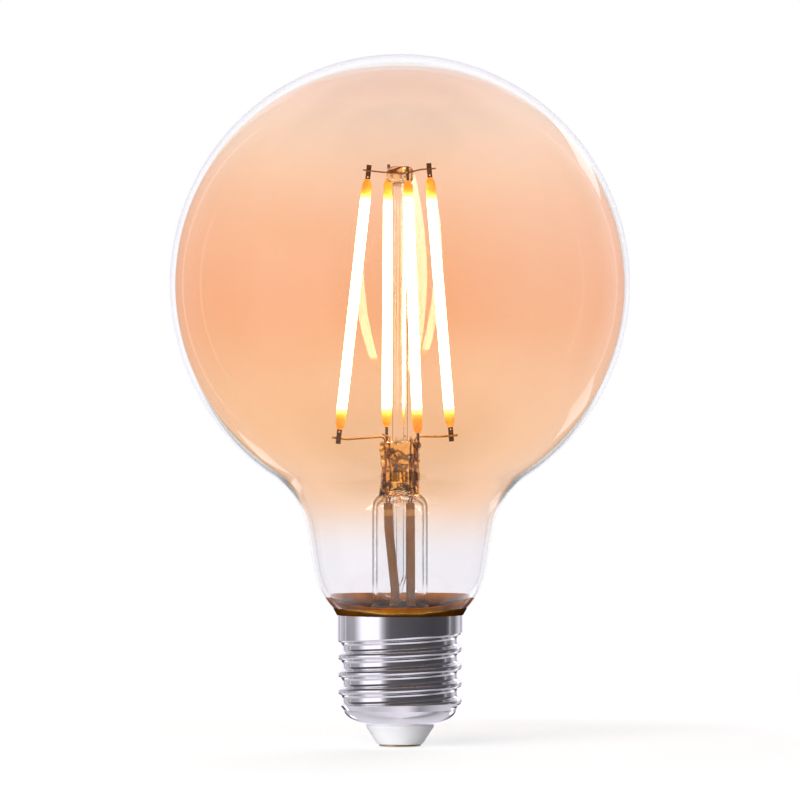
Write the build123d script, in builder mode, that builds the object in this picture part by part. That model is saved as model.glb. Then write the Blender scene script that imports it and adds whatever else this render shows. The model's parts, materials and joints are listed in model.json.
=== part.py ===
from build123d import *

import math
import os

# Globe LED filament bulb on a large screw cap. Millimetres and degrees, +Z up.
# The origin is the middle of the centre contact's face, the globe is on top.

# Glass globe
OVERALL_H = 144.2
GLOBE_D = 96.0
GLOBE_WALL = 1.1
POLE_EXTRA = 0.45
NECK_R = 18.0
NECK_TAPER = 9.2
NECK_SHARE = 0.517
BOWL_R = 15.0
SEAL_R = 9.6
SEAL_DROP = 1.7

# Screw shell with its rolled thread
THREAD_CREST_D = 26.2
THREAD_ROOT_D = 24.1
THREAD_PITCH = 3.629
THREAD_START = 1.48
THREAD_TOP_MARGIN = 2.2
CREST_ROUND = 0.75
ROOT_BLEND = 0.06
RIDGE_EMBED = 0.3
FOOT_SINK = 0.04
RUNOUT_DROP = 0.95
RUNOUT_SINK = 0.35
RUNOUT_H = 2.2
SHELL_WALL = 0.3
SHELL_H = 22.95
COLLAR_D = 26.4
COLLAR_H = 4.4
COLLAR_TILT = 3.9
DOME_H = 3.9

# Insulator and centre contact
CONTACT_D = 8.8
CONTACT_T = 0.35
CONTACT_EDGE = 0.12
SHANK_D = 3.0
SHANK_L = 3.65
INSULATOR_H = 4.0
INSULATOR_FOOT_D = 9.4
INSULATOR_FOOT_ROUND = 0.5
INSULATOR_LIP_D = 14.2
INSULATOR_LIP_H = 0.35
INSULATOR_NECK_D = 11.0
INSULATOR_GRIP_D = 16.0
INSULATOR_GRIP_RISE = 0.45
INSULATOR_FLOOR_T = 1.0
SEAT_WALL = 1.4
SEAT_H = 2.05

# Cement between the cap and the glass
CEMENT_BORE_D = 15.0
CEMENT_DEPTH = 2.9
CEMENT_BEAD_D = 28.0

# Glass stem
TUBE_D = 11.6
TUBE_WALL = 0.8
TUBE_L = 24.5
STEM_DOME_H = 4.4
CAVITY_DOME_H = 3.2
PRESS_W = 8.2
PRESS_T = 4.6
PRESS_CORNER = 1.7
PRESS_TOP_ROUND = 0.6
PRESS_H = 9.0
EXHAUST_D = 3.0
EXHAUST_BORE = 1.6
EXHAUST_L = 21.6
EXHAUST_TIP_L = 4.0
EXHAUST_TIP_D = 1.0
EXHAUST_VENT_D = 1.2

# Support rod and its button
ROD_D = 3.2
ROD_SEAT = 1.5
ROD_L = 55.8
BUTTON_D = 5.6
BUTTON_H = 3.4
BUTTON_ROUND = 1.1

# LED filaments, hand bent, so each leans a little differently
FILAMENT_ANGLES = (197.4, 111.2, 283.6, 17.6)
FILAMENT_SWING_ANGLES = (-1.8, -7.5, 4.5, -0.6)
FILAMENT_TOP_R = (6.7, 6.6, 6.4, 6.3)
FILAMENT_BOTTOM_R = (13.4, 12.0, 12.2, 11.3)
FILAMENT_LIFT = (-0.1, 0.4, -0.7, 0.4)
FILAMENT_D = 2.1
FILAMENT_L = 58.6
FILAMENT_RISE = 28.7
TAB_L = 3.0
TAB_W = 1.0
TAB_T = 0.3
TAB_GRIP = 1.5
TAB_HOLE_D = 0.4
TAB_HOLE_OFFSET = 0.45
END_NECK_D = 1.3
END_NECK_L = 0.5
END_ROUND_L = 1.6

# Wires
LINK_WIRE_D = 0.32
LEAD_WIRE_D = 0.42
SUPPLY_WIRE_D = 0.5
WIRE_CLEAR = 0.02
WIRE_TAIL = 0.8
WIRE_CROSSING = 1.2
LINK_REACH = 1.3
LINK_CORNER_R = 0.9
LINK_CORNER_LIFT = 0.2
LINK_BEND = 1.0
LEAD_REACH = 1.6
LEAD_RISE = 1.0
LEAD_BEND = 1.2
LEAD_FAN_L = 1.2
BEND_SHARE = 0.45
# Where each lead passes through the press, in the order of the filaments
LEAD_PORTS = ((-3.0, -0.5), (-2.2, 0.7), (2.2, -0.7), (3.0, 0.5))
SOLDER_TAIL = 0.5

# Insulating sleeves over the leads, from the stem down to the driver board
SLEEVE_D = 1.8
SLEEVE_BORE = 1.28
SLEEVE_LANE = 0.28
SLEEVE_BEND = 8.0
SLEEVE_TOP_DROP = 2.2
SLEEVE_FOOT_GAP = 2.0
SLEEVE_FOOT_RUN = 4.0
# Side offsets of each sleeve at its top, below the press, at the seal and at the board
SLEEVE_LEFT = ((-2.45, -1.3), (-2.3, -1.7), (-0.95, -2.7), (-3.0, -4.0))
SLEEVE_RIGHT = ((2.1, -1.3), (2.15, -1.7), (2.15, -2.6), (3.0, -4.0))
SLEEVE_TOP_RUN = 5.5
SLEEVE_SEAL_RISE = 6.5

# Driver board and what stands on it
BOARD_D = 18.0
BOARD_T = 1.0
CAPACITOR_D = 6.3
CAPACITOR_H = 9.5
CAPACITOR_AT = (-4.2, 3.4)
CAPACITOR_EDGE = 0.5
CAPACITOR_GROOVE_Z = 1.3
CAPACITOR_GROOVE_D = 0.8
RECTIFIER_SIZE = (4.6, 3.8, 2.3)
RECTIFIER_AT = (3.9, 3.8)
CHIP_SIZE = (3.0, 2.6, 1.4)
CHIP_AT = (6.2, -1.4)
PACKAGE_EDGE = 0.25
LEG_W = 0.6
LEG_T = 0.25
LEG_OUT_L = 0.7
RESISTOR_D = 2.2
RESISTOR_WAIST_D = 1.9
RESISTOR_CAP_L = 1.0
RESISTOR_L = 4.4
RESISTOR_LEAD_D = 0.45
RESISTOR_LEAD_RUN = 0.7
RESISTOR_AT = (-5.5, -3.0)
RESISTOR_BEND = 0.6
NEUTRAL_AT = (0.0, -6.0)
NEUTRAL_RISE = 3.4
NEUTRAL_BEND = 1.5
NEUTRAL_GAP = 0.05

# Heights that follow from the sizes above
shell_base_z = CONTACT_T + INSULATOR_H
dome_top_z = shell_base_z + DOME_H
rim_z = shell_base_z + SHELL_H
seal_z = rim_z - SEAL_DROP
globe_z = OVERALL_H - GLOBE_D / 2
tube_top_z = seal_z + TUBE_L
stem_dome_z = tube_top_z + STEM_DOME_H
cavity_z = tube_top_z + CAVITY_DOME_H
press_top_z = stem_dome_z + PRESS_H
button_z = press_top_z + ROD_L
filament_z = press_top_z + FILAMENT_RISE
board_z = shell_base_z + SEAT_H
board_top_z = board_z + BOARD_T

root_r = THREAD_ROOT_D / 2
crest_r = THREAD_CREST_D / 2
pieces = {}


def keep(name, part):
    """Label a finished piece and list it for writing."""
    part.label = name
    pieces[name] = part


def arc_between(start, end, centre):
    """Draw the short arc from start to end about centre."""
    radius = (start - centre).length
    middle = centre + ((start - centre) + (end - centre)).normalized() * radius
    ThreePointArc(start, middle, end)


def bend_radii(points, limits):
    """Bend at each corner of a wire's route, as wide as its runs allow up to its limit."""
    radii = []
    for before, corner, after, limit in zip(points, points[1:], points[2:], limits):
        run_in = corner - before
        run_out = after - corner
        half_turn = math.radians(run_in.get_angle(run_out)) / 2
        room = BEND_SHARE * min(run_in.length, run_out.length) / math.tan(half_turn)
        radii.append(min(limit, room))
    return radii


def round_wire(points, diameter, limits, bore=0.0):
    """Round wire, or a tube with a bore, along straight runs joined by bends."""
    with BuildPart() as wire:
        with BuildLine() as route:
            FilletPolyline(*points, radius=bend_radii(points, limits))
        with BuildSketch(Plane(origin=route.line @ 0, z_dir=route.line % 0)):
            Circle(diameter / 2)
            if bore:
                Circle(bore / 2, mode=Mode.SUBTRACT)
        sweep()
    return wire.part


# Glass globe: one blown wall from the pole down to the seal with the stem.
# Its neck leaves the bowl in a straight line, part of the way to the sphere, and the
# shoulder is the one arc that is tangent to the end of that line and to the sphere.
taper = math.radians(NECK_TAPER)
neck_up = Vector(math.sin(taper), math.cos(taper))
neck_out = Vector(math.cos(taper), -math.sin(taper))
bowl_x = NECK_R - BOWL_R * math.cos(taper)
bowl_drop = math.sqrt(BOWL_R**2 - (SEAL_R - bowl_x) ** 2)
bowl_centre = Vector(bowl_x, seal_z + bowl_drop)
globe_r = GLOBE_D / 2
globe_centre = Vector(0, globe_z)
neck_foot = bowl_centre + neck_out * BOWL_R
foot_reach = neck_foot - globe_centre
foot_climb = foot_reach.dot(neck_up)
neck_run = -foot_climb - math.sqrt(foot_climb**2 - foot_reach.dot(foot_reach) + globe_r**2)
neck_top = neck_foot + neck_up * (neck_run * NECK_SHARE)
top_reach = neck_top - globe_centre
shoulder_r = (top_reach.dot(top_reach) - globe_r**2) / (2 * (globe_r - top_reach.dot(neck_out)))
shoulder_centre = neck_top + neck_out * shoulder_r
shoulder_ray = (shoulder_centre - globe_centre).normalized()


def glass_skin(inset):
    """Draw one skin of the globe from its widest point down and give its seal edge."""
    skin_r = globe_r - inset
    shoulder_top = globe_centre + shoulder_ray * skin_r
    skin_neck_top = neck_top - neck_out * inset
    skin_neck_foot = neck_foot - neck_out * inset
    edge_drop = math.sqrt((BOWL_R - inset) ** 2 - (SEAL_R - bowl_x) ** 2)
    edge = Vector(SEAL_R, bowl_centre.Y - edge_drop)
    arc_between(Vector(skin_r, globe_z), shoulder_top, globe_centre)
    arc_between(shoulder_top, skin_neck_top, shoulder_centre)
    Line(skin_neck_top, skin_neck_foot)
    arc_between(skin_neck_foot, edge, bowl_centre)
    return edge


# The hollow's upper half is a little flatter than a half sphere, so the wall is thicker at the pole
globe_hollow_r = globe_r - GLOBE_WALL
crown_h = globe_hollow_r - POLE_EXTRA
crown_drop = (globe_hollow_r**2 - crown_h**2) / (2 * crown_h)
outer_pole = Vector(0, globe_z + globe_r)
inner_pole = Vector(0, globe_z + crown_h)
with BuildPart() as glass_globe:
    with BuildSketch(Plane.XZ):
        with BuildLine():
            arc_between(outer_pole, Vector(globe_r, globe_z), globe_centre)
            arc_between(inner_pole, Vector(globe_hollow_r, globe_z), Vector(0, globe_z - crown_drop))
            Line(outer_pole, inner_pole)
            outer_edge = glass_skin(0)
            inner_edge = glass_skin(GLOBE_WALL)
            Line(outer_edge, inner_edge)
        make_face()
    revolve(axis=Axis.Z)
keep("glass_globe", glass_globe.part)


# Filaments: each has its own frame, Z up its length and X away from the bulb's axis
def polar(radius, angle, z):
    return Vector(
        radius * math.cos(math.radians(angle)), radius * math.sin(math.radians(angle)), z
    )


def filament_frame(angle, swing, top_r, bottom_r, lift):
    """Frame at the middle of a filament that leans from its lower to its upper end."""
    half = FILAMENT_L / 2
    top = polar(top_r, angle, filament_z + lift + half)
    bottom = polar(bottom_r, angle + swing, filament_z + lift - half)
    axis = (top - bottom).normalized()
    away = polar(1, angle + swing / 2, 0)
    away = (away - axis * away.dot(axis)).normalized()
    return Plane(origin=(top + bottom) / 2, x_dir=away, z_dir=axis)


def filament_tab(frame, end):
    """Flat metal tab at one end of a filament, with its small hole."""
    root = end * (FILAMENT_L / 2 - TAB_L - TAB_GRIP)
    hole = frame.from_local_coords(
        Vector(0, 0, end * (FILAMENT_L / 2 - TAB_L + TAB_HOLE_OFFSET))
    )
    with BuildPart() as tab:
        with BuildSketch(frame.offset(root)):
            Rectangle(TAB_W, TAB_T)
        extrude(amount=end * (TAB_L + TAB_GRIP))
        with BuildSketch(Plane(origin=hole, x_dir=frame.x_dir, z_dir=frame.y_dir)):
            Circle(TAB_HOLE_D / 2)
        extrude(amount=TAB_T, both=True, mode=Mode.SUBTRACT)
    return tab.part


def filament_body(frame, tabs):
    """Phosphor rod with rounded shoulders and a short neck at both ends."""
    body_r = FILAMENT_D / 2
    neck_r = END_NECK_D / 2
    half = FILAMENT_L / 2 - TAB_L
    shoulder = half - END_NECK_L - END_ROUND_L
    section = Plane(origin=frame.origin, x_dir=frame.x_dir, z_dir=-frame.y_dir)
    with BuildPart() as body:
        with BuildSketch(section):
            with BuildLine():
                Line((0, 0), (body_r, 0))
                Line((body_r, 0), (body_r, shoulder))
                EllipticalCenterArc(
                    (neck_r, shoulder), body_r - neck_r, END_ROUND_L, 0, arc_size=90
                )
                Polyline(
                    (neck_r, half - END_NECK_L), (neck_r, half), (0, half), (0, 0)
                )
            make_face()
            mirror(about=Plane.XZ)
        revolve(axis=Axis(frame.origin, frame.z_dir))
        for tab in tabs:
            add(tab, mode=Mode.SUBTRACT)
    return body.part


filament_poses = zip(
    FILAMENT_ANGLES, FILAMENT_SWING_ANGLES, FILAMENT_TOP_R, FILAMENT_BOTTOM_R, FILAMENT_LIFT
)
frames = [filament_frame(*pose) for pose in filament_poses]
for number, frame in enumerate(frames, start=1):
    top_tab = filament_tab(frame, 1)
    bottom_tab = filament_tab(frame, -1)
    keep(f"filament_{number}_top_tab", top_tab)
    keep(f"filament_{number}_bottom_tab", bottom_tab)
    keep(f"led_filament_{number}", filament_body(frame, (top_tab, bottom_tab)))


def tab_crossing(frame, end, side, wire_d, reach):
    """Outer and inner point of a wire welded across the flat of a tab."""
    height = end * (FILAMENT_L / 2 - WIRE_CROSSING)
    offset = side * ((TAB_T + wire_d) / 2 + WIRE_CLEAR)
    outer = frame.from_local_coords(Vector(TAB_W / 2 + WIRE_TAIL, offset, height))
    inner = frame.from_local_coords(Vector(-TAB_W / 2 - reach, offset, height))
    return outer, inner


# Top links: two wires, each joins two neighbouring filaments through the button
def link_wire(first, second, side_first, side_second):
    out_first, in_first = tab_crossing(frames[first], 1, side_first, LINK_WIRE_D, LINK_REACH)
    out_second, in_second = tab_crossing(frames[second], 1, side_second, LINK_WIRE_D, LINK_REACH)
    towards = (in_first + in_second) / 2
    corner = Vector(towards.X, towards.Y).normalized() * LINK_CORNER_R
    corner = Vector(corner.X, corner.Y, button_z + LINK_CORNER_LIFT)
    points = [out_first, in_first, corner, in_second, out_second]
    return round_wire(points, LINK_WIRE_D, [LINK_BEND] * 3)


link_left = link_wire(0, 2, 1, -1)
link_right = link_wire(1, 3, -1, -1)
keep("top_link_wire_left", link_left)
keep("top_link_wire_right", link_right)


# Support rod: drawn glass rod with a button that grips the link wires
button_foot_z = button_z - BUTTON_H / 2
with BuildPart() as support_rod:
    with BuildSketch(Plane.XY.offset(press_top_z - ROD_SEAT)):
        Circle(ROD_D / 2)
    extrude(amount=ROD_SEAT + ROD_L)
    with BuildSketch(Plane.XY.offset(button_foot_z)):
        Circle(BUTTON_D / 2)
    button = extrude(amount=BUTTON_H)
    fillet(button.edges().filter_by(GeomType.CIRCLE), BUTTON_ROUND)
    add(link_left, mode=Mode.SUBTRACT)
    add(link_right, mode=Mode.SUBTRACT)
keep("support_rod", support_rod.part)


# Sleeves and leads: from a lower tab through the press and a sleeve to the board
def sleeve_route(offsets):
    """Corner points of a sleeve from its top under the press to its foot."""
    top, under_press, at_seal, at_board = offsets
    top_z = cavity_z - SLEEVE_TOP_DROP
    foot_z = board_top_z + SLEEVE_FOOT_GAP
    return [
        Vector(*top, top_z),
        Vector(*under_press, top_z - SLEEVE_TOP_RUN),
        Vector(*at_seal, seal_z + SLEEVE_SEAL_RISE),
        Vector(*at_board, foot_z + SLEEVE_FOOT_RUN),
        Vector(*at_board, foot_z),
    ]


def lead_wire(frame, port, route, lane, side):
    """Lead with its bends: across the tab, over and through the press, down its lane."""
    outer, inner = tab_crossing(frame, -1, side, LEAD_WIRE_D, LEAD_REACH)
    shift = Vector(lane * SLEEVE_LANE, 0, 0)
    fan = (route[0] - route[1]).normalized() * LEAD_FAN_L
    points = [outer, inner]
    points.append(Vector(*port, press_top_z + LEAD_RISE))
    points.append(Vector(*port, cavity_z))
    points.append(route[0] + fan + shift)
    points.extend(point + shift for point in route[1:-1])
    points.append(Vector(route[-1].X, route[-1].Y, board_z - SOLDER_TAIL) + shift)
    limits = [LEAD_BEND] * 4 + [SLEEVE_BEND] * 3
    return round_wire(points, LEAD_WIRE_D, limits)


left_route = sleeve_route(SLEEVE_LEFT)
right_route = sleeve_route(SLEEVE_RIGHT)
for name, route in (("left", left_route), ("right", right_route)):
    sleeve = round_wire(route, SLEEVE_D, [SLEEVE_BEND] * 3, SLEEVE_BORE)
    keep(f"lead_sleeve_{name}", sleeve)

leads = [
    lead_wire(frames[0], LEAD_PORTS[0], left_route, -1, -1),
    lead_wire(frames[1], LEAD_PORTS[1], left_route, 1, 1),
    lead_wire(frames[2], LEAD_PORTS[2], right_route, -1, -1),
    lead_wire(frames[3], LEAD_PORTS[3], right_route, 1, -1),
]
for number, lead in enumerate(leads, start=1):
    keep(f"lead_wire_{number}", lead)


# Glass stem: flared tube sealed to the globe, pinched press and tipped-off exhaust tube
tube_r = TUBE_D / 2
tube_bore_r = tube_r - TUBE_WALL
flare_top = Vector(SEAL_R, inner_edge.Y + SEAL_R - tube_r)
flare_low = Vector(SEAL_R, outer_edge.Y + SEAL_R - tube_bore_r)
exhaust_tip_z = cavity_z - EXHAUST_L
exhaust_taper_z = exhaust_tip_z + EXHAUST_TIP_L
vent_z = stem_dome_z + EXHAUST_VENT_D
with BuildPart() as glass_stem:
    with BuildSketch(Plane.XZ):
        with BuildLine():
            arc_between(inner_edge, Vector(tube_r, flare_top.Y), flare_top)
            Line((tube_r, flare_top.Y), (tube_r, tube_top_z))
            EllipticalCenterArc((0, tube_top_z), tube_r, STEM_DOME_H, 0, arc_size=90)
            Line((0, stem_dome_z), (0, cavity_z))
            EllipticalCenterArc((0, tube_top_z), tube_bore_r, CAVITY_DOME_H, 0, arc_size=90)
            Line((tube_bore_r, tube_top_z), (tube_bore_r, flare_low.Y))
            arc_between(Vector(tube_bore_r, flare_low.Y), outer_edge, flare_low)
            Line(outer_edge, inner_edge)
        make_face()
    revolve(axis=Axis.Z)
    with BuildSketch(Plane.XY.offset(tube_top_z + CAVITY_DOME_H / 2)):
        RectangleRounded(PRESS_W, PRESS_T, PRESS_CORNER)
    press = extrude(amount=press_top_z - tube_top_z - CAVITY_DOME_H / 2)
    fillet(press.faces().sort_by(Axis.Z)[-1].edges(), PRESS_TOP_ROUND)
    with BuildSketch(Plane.XZ):
        with BuildLine():
            EllipticalCenterArc((0, tube_top_z), tube_bore_r, CAVITY_DOME_H, 0, arc_size=90)
            Polyline((0, cavity_z), (0, tube_top_z), (tube_bore_r, tube_top_z))
        make_face()
    revolve(axis=Axis.Z, mode=Mode.SUBTRACT)
    with BuildSketch(Plane.XZ):
        with BuildLine():
            Polyline(
                (0, stem_dome_z),
                (EXHAUST_D / 2, stem_dome_z),
                (EXHAUST_D / 2, exhaust_taper_z),
                (EXHAUST_TIP_D / 2, exhaust_tip_z),
                (0, exhaust_tip_z),
                close=True,
            )
        make_face()
    revolve(axis=Axis.Z)
    with BuildSketch(Plane.XZ):
        with BuildLine():
            Polyline(
                (0, vent_z + EXHAUST_VENT_D / 2),
                (EXHAUST_BORE / 2, vent_z + EXHAUST_VENT_D / 2),
                (EXHAUST_BORE / 2, exhaust_taper_z),
                (0, exhaust_tip_z + EXHAUST_TIP_D),
                close=True,
            )
        make_face()
    revolve(axis=Axis.Z, mode=Mode.SUBTRACT)
    with BuildSketch(Plane.XZ):
        with Locations((0, vent_z)):
            Circle(EXHAUST_VENT_D / 2)
    extrude(amount=-PRESS_T, mode=Mode.SUBTRACT)
    with BuildSketch(Plane.XY.offset(press_top_z - ROD_SEAT)):
        Circle(ROD_D / 2)
    extrude(amount=ROD_SEAT + PRESS_TOP_ROUND, mode=Mode.SUBTRACT)
    for lead in leads:
        add(lead, mode=Mode.SUBTRACT)
keep("glass_stem", glass_stem.part)


# Screw shell: thin rolled sheet, so both skins carry the dome, the thread and the collar
thread_depth = crest_r - (root_r - ROOT_BLEND)
flank_sum = (thread_depth**2 + (THREAD_PITCH / 2) ** 2) / (2 * thread_depth)
flank_hollow = flank_sum - CREST_ROUND
flank_angle = math.degrees(math.asin(THREAD_PITCH / 2 / flank_sum))
crest_centre_r = crest_r - CREST_ROUND
hollow_centre_r = root_r - ROOT_BLEND + flank_hollow
thread_start_z = shell_base_z + THREAD_START
thread_end_z = rim_z - THREAD_TOP_MARGIN
runout_z = dome_top_z - RUNOUT_DROP
dome_flat_r = INSULATOR_NECK_D / 2


def thread_ridge(inset):
    """Round-crested helical ridge that fades out over the dome."""
    foot_r = root_r - inset
    hollow_r = flank_hollow + inset
    foot_angle = math.degrees(math.acos((hollow_centre_r - foot_r + FOOT_SINK) / hollow_r))
    foot_z = THREAD_PITCH / 2 - hollow_r * math.sin(math.radians(foot_angle))
    sweep_angle = flank_angle - foot_angle
    with BuildPart() as ridge:
        with BuildLine() as helix:
            Helix(THREAD_PITCH, thread_end_z - thread_start_z, crest_r, (0, 0, thread_start_z))
        with BuildSketch(Plane((0, 0, thread_start_z), x_dir=(1, 0, 0), z_dir=(0, -1, 0))):
            with BuildLine():
                CenterArc((crest_centre_r, 0), CREST_ROUND - inset, -flank_angle, 2 * flank_angle)
                for half in (1, -1):
                    CenterArc(
                        (hollow_centre_r, half * THREAD_PITCH / 2),
                        hollow_r,
                        180 + half * flank_angle,
                        -half * sweep_angle,
                    )
                Polyline(
                    (foot_r - FOOT_SINK, foot_z),
                    (foot_r - RIDGE_EMBED, foot_z),
                    (foot_r - RIDGE_EMBED, -foot_z),
                    (foot_r - FOOT_SINK, -foot_z),
                )
            make_face()
        sweep(path=helix.line, is_frenet=True)
        with BuildSketch(Plane.XZ):
            with BuildLine():
                Polyline(
                    (0, runout_z),
                    (foot_r - RUNOUT_SINK, runout_z),
                    (crest_r + RUNOUT_SINK - inset, runout_z + RUNOUT_H),
                    (crest_r + RUNOUT_SINK - inset, rim_z),
                    (0, rim_z),
                    close=True,
                )
            make_face()
        revolve(axis=Axis.Z, mode=Mode.INTERSECT)
    return ridge.part


def shell_collar(inset):
    """Plain band under the rim, whose lower edge rises with the thread."""
    tilt = math.radians(COLLAR_TILT)
    edge = Plane(
        (0, 0, rim_z - COLLAR_H + inset), z_dir=(-math.sin(tilt), 0, math.cos(tilt))
    )
    with BuildPart() as collar:
        with BuildSketch(Plane.XY.offset(rim_z)):
            Circle(COLLAR_D / 2 - inset)
        extrude(amount=-2 * COLLAR_H)
        split(bisect_by=edge, keep=Keep.TOP)
    return collar.part


def shell_skin(inset):
    """Body inside one skin of the shell: dome, barrel, thread and collar."""
    barrel_r = root_r - inset
    base_z = shell_base_z + inset
    with BuildPart() as skin:
        with BuildSketch(Plane.XZ):
            with BuildLine():
                Line((0, base_z), (dome_flat_r, base_z))
                EllipticalCenterArc(
                    (dome_flat_r, dome_top_z), barrel_r - dome_flat_r, DOME_H - inset, -90, arc_size=90
                )
                Polyline((barrel_r, dome_top_z), (barrel_r, rim_z), (0, rim_z), (0, base_z))
            make_face()
        revolve(axis=Axis.Z)
        add(thread_ridge(inset))
        add(shell_collar(inset))
    return skin.part


with BuildPart() as screw_shell:
    add(shell_skin(0))
    add(shell_skin(SHELL_WALL), mode=Mode.SUBTRACT)
    with BuildSketch(Plane.XY.offset(shell_base_z)):
        Circle(dome_flat_r)
    extrude(amount=DOME_H, mode=Mode.SUBTRACT)
keep("screw_shell", screw_shell.part)


# Centre contact: flat head on a shank pressed into the insulator
with BuildPart() as centre_contact:
    with BuildSketch():
        Circle(CONTACT_D / 2)
    head = extrude(amount=CONTACT_T)
    fillet(head.faces().sort_by(Axis.Z)[0].edges(), CONTACT_EDGE)
    with BuildSketch(Plane.XY.offset(CONTACT_T)):
        Circle(SHANK_D / 2)
    extrude(amount=SHANK_L)
keep("centre_contact", centre_contact.part)


# Insulator: moulded round the bottom hole of the shell, its ring carries the board
floor_z = shell_base_z + INSULATOR_FLOOR_T
grip_z = shell_base_z + INSULATOR_GRIP_RISE
with BuildPart() as insulator:
    with BuildSketch(Plane.XZ):
        with BuildLine():
            Polyline(
                (SHANK_D / 2, CONTACT_T),
                (INSULATOR_FOOT_D / 2, CONTACT_T),
                (INSULATOR_LIP_D / 2, shell_base_z - INSULATOR_LIP_H),
                (INSULATOR_LIP_D / 2, grip_z),
                (INSULATOR_GRIP_D / 2, grip_z),
                (INSULATOR_GRIP_D / 2, board_z),
                (INSULATOR_GRIP_D / 2 - SEAT_WALL, board_z),
                (INSULATOR_GRIP_D / 2 - SEAT_WALL, floor_z),
                (SHANK_D / 2, floor_z),
                close=True,
            )
        make_face()
    revolve(axis=Axis.Z)
    foot = insulator.faces().sort_by(Axis.Z)[0].edges().sort_by(SortBy.RADIUS)[-1]
    fillet(foot, INSULATOR_FOOT_ROUND)
    add(screw_shell.part, mode=Mode.SUBTRACT)
keep("insulator", insulator.part)


# Cement: fills the collar under the seal and stands out as a bead below the globe
collar_bore_r = COLLAR_D / 2 - SHELL_WALL
bead_r = CEMENT_BEAD_D / 2
bead_angle = math.acos((bead_r - bowl_x) / BOWL_R)
bead_ray = Vector(math.cos(bead_angle), -math.sin(bead_angle))
bead_edge = bowl_centre + bead_ray * BOWL_R
bead_root = bowl_centre + bead_ray * (BOWL_R - GLOBE_WALL / 2)
seal_root = (outer_edge + inner_edge) / 2
flare_reach = SEAL_R - CEMENT_BORE_D / 2
flare_root_z = flare_low.Y - math.sqrt((SEAL_R - tube_bore_r - TUBE_WALL / 2) ** 2 - flare_reach**2)
with BuildPart() as cement_ring:
    with BuildSketch(Plane.XZ):
        with BuildLine():
            Polyline(
                (CEMENT_BORE_D / 2, rim_z - CEMENT_DEPTH),
                (collar_bore_r, rim_z - CEMENT_DEPTH),
                (collar_bore_r, rim_z),
                (COLLAR_D / 2, rim_z),
                bead_edge,
                bead_root,
                seal_root,
                (CEMENT_BORE_D / 2, flare_root_z),
                close=True,
            )
        make_face()
    revolve(axis=Axis.Z)
    add(glass_globe.part, mode=Mode.SUBTRACT)
    add(glass_stem.part, mode=Mode.SUBTRACT)
keep("cement_ring", cement_ring.part)


# Supply wires: live from the contact's shank, neutral to the shell's inner wall
shank_top_z = CONTACT_T + SHANK_L
with BuildPart() as live_wire:
    with BuildSketch(Plane.XY.offset(shank_top_z)):
        Circle(SUPPLY_WIRE_D / 2)
    extrude(amount=board_top_z - shank_top_z)
keep("live_wire", live_wire.part)

neutral_start = Vector(*NEUTRAL_AT, board_z - SOLDER_TAIL)
neutral_corner = Vector(*NEUTRAL_AT, board_top_z + NEUTRAL_RISE)
neutral_out = Vector(*NEUTRAL_AT).normalized() * (root_r - SHELL_WALL - NEUTRAL_GAP)
neutral_end = Vector(neutral_out.X, neutral_out.Y, neutral_corner.Z)
neutral_wire = round_wire(
    [neutral_start, neutral_corner, neutral_end], SUPPLY_WIRE_D, [NEUTRAL_BEND]
)
keep("neutral_wire", neutral_wire)


# Driver board parts
with BuildPart() as smoothing_capacitor:
    can_r = CAPACITOR_D / 2
    can_plane = Plane((*CAPACITOR_AT, board_top_z), x_dir=(1, 0, 0), z_dir=(0, -1, 0))
    with BuildSketch(can_plane):
        with Locations((can_r / 2, CAPACITOR_H / 2)):
            Rectangle(can_r, CAPACITOR_H)
        with Locations((can_r, CAPACITOR_GROOVE_Z)):
            Circle(CAPACITOR_GROOVE_D / 2, mode=Mode.SUBTRACT)
    revolve(axis=Axis((*CAPACITOR_AT, 0), (0, 0, 1)))
    can_top = smoothing_capacitor.faces().sort_by(Axis.Z)[-1]
    fillet(can_top.edges(), CAPACITOR_EDGE)
keep("smoothing_capacitor", smoothing_capacitor.part)


def package(size, place, legs):
    """Moulded package on the board with flat legs along two sides."""
    length, width, height = size
    with BuildPart() as body:
        with BuildSketch(Plane.XY.offset(board_top_z)):
            with Locations(place):
                Rectangle(length, width)
        block = extrude(amount=height)
        chamfer(block.faces().sort_by(Axis.Z)[-1].edges(), PACKAGE_EDGE)
        with BuildSketch(Plane.XY.offset(board_top_z)):
            with Locations(place):
                with GridLocations(length / legs, 0, legs, 1):
                    Rectangle(LEG_W, width + 2 * LEG_OUT_L)
        extrude(amount=LEG_T)
    return body.part


keep("bridge_rectifier", package(RECTIFIER_SIZE, RECTIFIER_AT, 2))
keep("driver_chip", package(CHIP_SIZE, CHIP_AT, 3))

resistor_axis_z = board_top_z + RESISTOR_D / 2
lead_end = RESISTOR_L / 2 + RESISTOR_LEAD_RUN
resistor_ends = [Vector(RESISTOR_AT[0], RESISTOR_AT[1] + sign * lead_end) for sign in (-1, 1)]
resistor_lead = [
    Vector(resistor_ends[0].X, resistor_ends[0].Y, board_z),
    Vector(resistor_ends[0].X, resistor_ends[0].Y, resistor_axis_z),
    Vector(resistor_ends[1].X, resistor_ends[1].Y, resistor_axis_z),
    Vector(resistor_ends[1].X, resistor_ends[1].Y, board_z),
]
with BuildPart() as fuse_resistor:
    add(round_wire(resistor_lead, RESISTOR_LEAD_D, [RESISTOR_BEND] * 2))
    resistor_plane = Plane((*RESISTOR_AT, resistor_axis_z), x_dir=(1, 0, 0), z_dir=(0, 1, 0))
    with BuildSketch(resistor_plane):
        Circle(RESISTOR_WAIST_D / 2)
    extrude(amount=RESISTOR_L / 2, both=True)
    for sign in (-1, 1):
        with BuildSketch(resistor_plane.offset(sign * RESISTOR_L / 2)):
            Circle(RESISTOR_D / 2)
        extrude(amount=-sign * RESISTOR_CAP_L)
keep("fuse_resistor", fuse_resistor.part)

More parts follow.
